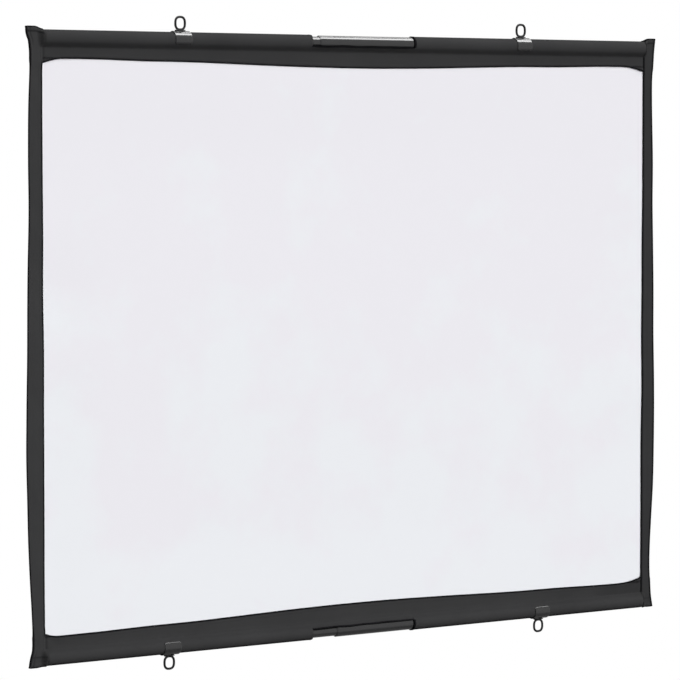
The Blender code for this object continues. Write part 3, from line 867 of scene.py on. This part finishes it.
def binding_thickness(grid):
    """How far the outside lies from the middle: hems are thicker, with a groove under the stitches."""
    off_flap = 1 - grid.on_flap
    hem = largest(fade(grid.from_edge, *BINDING_HEM_FADE) * off_flap, fade(grid.from_end, *BINDING_HEM_FADE),
                  fade(grid.from_fold, *FOLD_HEM_FADE) * grid.on_flap)
    groove = np.maximum(bell(grid.from_edge, *GROOVE_SPOT) * off_flap, bell(grid.from_end, *GROOVE_SPOT))
    return CLOTH / 2 + BINDING_HEM * hem - GROOVE_DEPTH * groove


def binding_painted_shade(grid, painted_shade_amount):
    """Painted shade mixed into the cloth's colour: along its inner edges, its fold and its ends, painted shadow
    lines inside the end hems and on the ears, and a darkening over the whole binding.
    """
    if grid.side > 0:
        edge_end, painted_fold_shade = step(grid.past, *ON_BULGE_RISE), PAINTED_FOLD_SHADE_RIGHT
    else:
        edge_end, painted_fold_shade = grid.on_flap, PAINTED_FOLD_SHADE_LEFT
    painted_hem_line = np.where(grid.upper, TOP_PAINTED_HEM_LINE, BOTTOM_PAINTED_HEM_LINE)
    return largest(fade(grid.from_edge, *PAINTED_EDGE_SHADE_FADE) * (1 - edge_end), fade(grid.from_end, *PAINTED_END_SHADE_FADE),
                   fade(grid.from_fold, painted_fold_shade, PAINTED_FOLD_SHADE_RUN),
                   PAINTED_HEM_LINE_SHADE * bell(grid.from_end, painted_hem_line, PAINTED_HEM_LINE_WIDTH),
                   PAINTED_EAR_LINE_SHADE * step(grid.past, *ON_EAR_RISE) * bell(grid.from_fold, *PAINTED_EAR_LINE_SPOT), painted_shade_amount)


def binding_seams(grid, skin):
    """Stitches along both long edges and across both ends, front and back."""
    count, last = len(grid.depth), grid.from_edge.shape[1] - 1
    long = slice(END_STITCHES_SKIPPED, -END_STITCHES_SKIPPED)
    paths = [seam(skin, long, row) for row in (HEM_STITCH, last - HEM_STITCH)]
    for place in (HEM_STITCH, count - 1 - HEM_STITCH):
        paths.append(seam(skin, place, slice(HEM_STITCH + 1, grid.half - 1)))
        paths.append(seam(skin, place, slice(last - grid.half + 2, last - HEM_STITCH)))
    return paths


def make_binding(hand, side, widths, painted_shade_amount, seed):
    grid = binding_grid(side, widths, seed)
    length = run_lengths(grid.points)
    skin = shell(grid.points, binding_thickness(grid), CLOTH / 2, side,
                 uv=np.stack([length, grid.depth + 0 * length], -1), hem=binding_painted_shade(grid, painted_shade_amount))
    name = hand + "_binding_dressed"
    cloth = piece(name, [skin], BLACK, "screen", [hand + "_binding"])
    thread = piece(name + "_thread", [stitches(binding_seams(grid, skin))], THREAD, "screen")


# Poles

OUTER_RADIUS = 0.0095
OUTER_BORE = 0.0085
INNER_RADIUS = 0.0080
INNER_BORE = 0.0070
TUBE_END = 0.4947
INNER_TUBE_REACH = 0.048
TOP_TUBE_MOUTH = -0.0715
BOTTOM_TUBE_MOUTH = -0.044
ROUND_SIDES = 96
CUT_ROUND = 0.0004

# The outer tube's mouth is rolled in round the inner tube
ROLL_ROUND = 0.0001
ROLL_DEPTH = 0.0030
ROLL_RUN = 0.0014
ROLL_INSIDE = INNER_RADIUS + 0.00015
ROLL_LIP = INNER_RADIUS + 0.0004
POLE_SHARP = 50


def rounded(profile, radius, steps=4):
    """A closed profile with its corners rounded."""
    made = []
    count = len(profile)
    for index in range(count):
        before, at, after = (np.array(profile[(index + k) % count], float) for k in (-1, 0, 1))
        first = at + unit(before - at) * radius
        second = at + unit(after - at) * radius
        for t in np.arange(steps + 1) / steps:
            made.append((1 - t) ** 2 * first + 2 * t * (1 - t) * at + t ** 2 * second)
    return np.array(made)


def make_tube(name, profile, axis, body):
    """A tube turned from a profile of (place, radius)."""
    turns = around(ROUND_SIDES)[:, None]
    place, radius = profile.T
    points = np.stack([place + 0 * turns, np.sin(turns) * radius, axis + np.cos(turns) * radius], -1)
    piece(name + "_dressed", [wrapped(points)], POLE, body, [name], sharp=POLE_SHARP)


def make_pole(level, axis, mouth):
    outer = [(mouth + ROLL_DEPTH, OUTER_BORE), (mouth, ROLL_INSIDE), (mouth, ROLL_LIP),
             (mouth + ROLL_RUN, OUTER_RADIUS), (TUBE_END, OUTER_RADIUS), (TUBE_END, OUTER_BORE)]
    inner = [(-TUBE_END, INNER_BORE), (-TUBE_END, INNER_RADIUS), (INNER_TUBE_REACH, INNER_RADIUS),
             (INNER_TUBE_REACH, INNER_BORE)]
    make_tube(level + "_outer_tube", rounded(outer, ROLL_ROUND), axis, level + "_pole")
    make_tube(level + "_inner_tube", rounded(inner, CUT_ROUND), axis, level + "_inner")


# Clips and rings

# Each clip's place along its pole and its way out
CLIPS = {"top_left": (-0.2945, 1), "top_right": (0.2813, 1),
         "bottom_left": (-0.3146, -1), "bottom_right": (0.3166, -1)}
CLIP_WIDTH = 0.025
CLIP_MIDDLE = 0.01128
CLIP_THICKNESS = 0.0012
CLIP_MOUTH = 0.0175
CLIP_INSIDE = 0.0107
CLIP_EASE = 0.03
CLIP_WRAP = math.pi - math.asin(CLIP_MOUTH / 2 / CLIP_INSIDE) - CLIP_EASE
CLIP_CORNER = 0.0022
CLIP_STEPS = 81
CLIP_FEATHER = 0.0002
FEATHER_RUN = 0.0030
CLIP_SHARP = 60
PLATE_SHARES = np.concatenate([[-1, -0.97, -0.90], np.linspace(-0.8, 0.8, 9), [0.90, 0.97, 1]])

RING_WIRE = 0.0032
RING_HALF_WIDTH = 0.0075
RING_HALF_LENGTH = 0.00845
RING_CENTRE = 0.0222
RING_SQUARENESS = 2.6
WIRE_SIDES = 18
FOOT_MIDDLE = 0.0128
FOOT_LENGTH = 0.015
FOOT_DEPTH = 0.005
FOOT_THICKNESS = 0.0012
FOOT_CORNER = 0.0014
FOOT_STEPS = 15
WELD_HALF_LENGTH = 0.0052
WELD_HALF_DEPTH = 0.0019
WELD_HEIGHT = 0.0014
WELD_CLOSES = 0.999
WELD_SIDES, WELD_ROWS = 32, 9


def arc_plate(place, axis, way, radius, wrap, width, thickness, corner, steps, feather=0.0):
    """A plate bent round a pole, its corners rounded, centred on the way out from the screen."""
    angles = wrap * np.sin(np.linspace(-math.pi / 2, math.pi / 2, steps))
    to_end = (wrap - np.abs(angles)) * radius
    cut = np.maximum(corner - to_end, 0)
    half = width / 2 - corner + np.sqrt(np.maximum(corner ** 2 - cut ** 2, 0))
    x = place + half[:, None] * PLATE_SHARES
    y = radius * np.sin(angles)[:, None] + 0 * x
    z = axis + way * radius * np.cos(angles)[:, None] + 0 * x
    outer = thickness / 2 - feather * np.maximum(1 - to_end / FEATHER_RUN, 0)[:, None] ** 2
    return shell(np.stack([x, y, z], -1), outer, thickness / 2, -way, rim=PLATE_RIM)


def ring_wire(place, axis, way):
    """A round wire bent to an upright, slightly square oval."""
    reach = np.stack([np.cos(around(ROUND_SIDES)), np.sin(around(ROUND_SIDES))], -1)
    reach = np.sign(reach) * np.abs(reach) ** (2 / RING_SQUARENESS)
    middle = reach * (RING_HALF_WIDTH, RING_HALF_LENGTH) + (0, RING_CENTRE)
    ahead = unit(np.roll(middle, -1, 0) - np.roll(middle, 1, 0))
    normal = np.stack([ahead[:, 1], -ahead[:, 0]], -1)
    swell = RING_WIRE / 2 * np.cos(around(WIRE_SIDES))
    x = place + middle[:, :1] + normal[:, :1] * swell
    y = RING_WIRE / 2 * np.sin(around(WIRE_SIDES)) + 0 * x
    z = axis + way * (middle[:, 1:] + normal[:, 1:] * swell)
    return wrapped(np.stack([x, y, z], -1)[::way])


def weld_bead(place, axis, way):
    """The bead that joins the ring to its foot."""
    turns = around(WELD_SIDES)[:, None]
    rise = np.linspace(0, 1, WELD_ROWS)
    spread = np.sqrt(1 - rise ** 2 * WELD_CLOSES)
    x = place + WELD_HALF_LENGTH * spread * np.cos(turns)
    y = WELD_HALF_DEPTH * spread * np.sin(turns)
    z = axis + way * (FOOT_MIDDLE + WELD_HEIGHT * rise + 0 * x)
    return wrapped(np.stack([x, y, z], -1)[::-way], capped=True)


def make_clip(name, place, way):
    axis = TOP_AXIS if way > 0 else BOTTOM_AXIS
    body = "clip_" + name
    band = arc_plate(place, axis, way, CLIP_MIDDLE, CLIP_WRAP, CLIP_WIDTH, CLIP_THICKNESS, CLIP_CORNER, CLIP_STEPS,
                     CLIP_FEATHER)
    foot = arc_plate(place, axis, way, FOOT_MIDDLE, math.asin(FOOT_DEPTH / 2 / FOOT_MIDDLE), FOOT_LENGTH,
                     FOOT_THICKNESS, FOOT_CORNER, FOOT_STEPS)
    ring = [ring_wire(place, axis, way), foot, weld_bead(place, axis, way)]
    piece(name + "_clip_dressed", [band], CLIP, body, [name + "_clip"], sharp=CLIP_SHARP)
    piece(name + "_ring_dressed", ring, RING, body, [name + "_ring"], sharp=CLIP_SHARP)


# The dressed part

white = make_white()
# Painted shade: each flap is darker, the bottom sleeve's flap more towards its right end, and the right binding is
# darker all over
make_sleeve("top", TOP_AXIS, 1, TOP_EARS, TOP_FLAP, soft=(0.0014, 0.0014), painted_shade_amount=(0.14, 0.14), seed=11)
make_sleeve("bottom", BOTTOM_AXIS, -1, BOTTOM_EARS, BOTTOM_FLAP, soft=(0.0050, 0.0010), painted_shade_amount=(0.06, 0.30), seed=23)
make_binding("left", -1, LEFT_WIDTHS, painted_shade_amount=0.0, seed=31)
make_binding("right", 1, RIGHT_WIDTHS, painted_shade_amount=0.20, seed=37)
make_pole("top", TOP_AXIS, TOP_TUBE_MOUTH)
make_pole("bottom", BOTTOM_AXIS, BOTTOM_TUBE_MOUTH)
for name, (place, way) in CLIPS.items():
    make_clip(name, place, way)

# Plugs and bushes keep their solids and get a finish
for name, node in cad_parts.items():
    if name.endswith(("_plug", "_bush")):
        node.data.materials.clear()
        node.data.materials.append(PLASTIC)


# Floor, light and camera

WHITE_LEVEL = (1.0, 1.0, 1.0)
FLOOR_GREY = (0.44, 0.44, 0.44)
FLOOR_LIGHT = (0.03, 0.03, 0.03)
FLOOR_HALF = 16.0
FLOOR_HEIGHT = -6.0
FLOOR_FADE_FROM, FLOOR_FADE_TO = 8.0, 15.5

# The sky is brightest in front and behind, and brighter to the right and above
FRONT_SHARE, BACK_SHARE = -0.88, 0.85
RIGHT_SHARE, ABOVE_SHARE = 0.32, 0.34
SKY_POWER = 6.0
SKY_PEAK = 4.70
SKY_LEAST = 0.02

CAMERA_PLACE = (-2.7542, -3.9606, -0.1614)
CAMERA_DOWN = 3.349
CAMERA_TURN = -34.483
FOCAL_LENGTH = 182.84
SENSOR_WIDTH = 36.0


def seen_directly(graph, other, shown):
    """One colour for light that falls on the part, another for what is seen, mirrored or seen through."""
    path = graph.nodes.new("ShaderNodeLightPath").outputs
    seen = graph.math("MAXIMUM", path["Is Camera Ray"], path["Is Glossy Ray"])
    return graph.tint(graph.math("MAXIMUM", seen, path["Is Transmission Ray"]), other, shown)


def make_floor():
    """A pale floor that takes the part's shadow and fades to white far out."""
    made, graph = new_finish("pale_floor")
    graph.nodes.clear()
    away = graph.add("ShaderNodeVectorMath", {0: graph.place()})
    away.operation = "LENGTH"
    paler = graph.spread(away.outputs["Value"], 0.0, 1.0, FLOOR_FADE_FROM, FLOOR_FADE_TO)
    plain = graph.add("ShaderNodeBsdfDiffuse", {"Color": seen_directly(graph, FLOOR_LIGHT, FLOOR_GREY)})
    white_edge = graph.add("ShaderNodeEmission", {"Color": seen_directly(graph, FLOOR_LIGHT, WHITE_LEVEL)})
    fading = graph.add("ShaderNodeMixShader", {0: paler, 1: plain.outputs[0], 2: white_edge.outputs[0]})
    graph.add("ShaderNodeOutputMaterial", {"Surface": fading.outputs[0]})
    corners = [(x * FLOOR_HALF, y * FLOOR_HALF, FLOOR_HEIGHT) for x, y in ((-1, -1), (1, -1), (1, 1), (-1, 1))]
    mesh = bpy.data.meshes.new("floor")
    mesh.from_pydata(corners, [], [(0, 1, 2, 3)])
    mesh.materials.append(made)
    floor = bpy.data.objects.new("floor", mesh)
    bpy.context.scene.collection.objects.link(floor)


def make_world():
    world = bpy.data.worlds.new("studio")
    bpy.context.scene.world = world
    world.use_nodes = True
    graph = Graph(world.node_tree)
    right, depth, above = graph.split(graph.place("Generated"))
    level = graph.math("MAXIMUM", *(graph.math("MULTIPLY", depth, share) for share in (FRONT_SHARE, BACK_SHARE)))
    for way, share in ((right, RIGHT_SHARE), (above, ABOVE_SHARE)):
        level = graph.math("ADD", level, graph.math("MULTIPLY", way, share))
    level = graph.math("POWER", graph.math("MAXIMUM", level, 0.0), SKY_POWER)
    level = graph.math("ADD", graph.math("MULTIPLY", level, SKY_PEAK), SKY_LEAST)
    grey = graph.add("ShaderNodeCombineXYZ", {0: level, 1: level, 2: level}).outputs[0]
    sky = graph.nodes["Background"].inputs
    graph.feed(sky["Color"], seen_directly(graph, grey, WHITE_LEVEL))
    graph.feed(sky["Strength"], 1.0)


def make_lamp(name, place, wide, deep, watts):
    lamp = bpy.data.lights.new(name, "AREA")
    lamp.shape = "RECTANGLE"
    lamp.size = wide
    lamp.size_y = deep
    lamp.energy = watts
    made = bpy.data.objects.new(name, lamp)
    made.location = place
    bpy.context.scene.collection.objects.link(made)
    return made


def make_camera():
    lens = bpy.data.cameras.new("camera")
    lens.sensor_width = SENSOR_WIDTH
    lens.sensor_fit = "HORIZONTAL"
    lens.lens = FOCAL_LENGTH
    made = bpy.data.objects.new("camera", lens)
    made.location = CAMERA_PLACE
    made.rotation_euler = (math.radians(90 - CAMERA_DOWN), 0, math.radians(CAMERA_TURN))
    bpy.context.scene.collection.objects.link(made)
    bpy.context.scene.camera = made


make_floor()
make_world()
softbox = make_lamp("overhead_softbox", (0.0, 0.4, 2.4), wide=7.0, deep=0.8, watts=64.5)
softbox.visible_glossy = False
strip = make_lamp("overhead_strip", (0.6, -0.1, 2.4), wide=7.0, deep=2.4, watts=640.0)
strip.visible_diffuse = False
make_camera()
bpy.context.scene.view_settings.view_transform = "Standard"
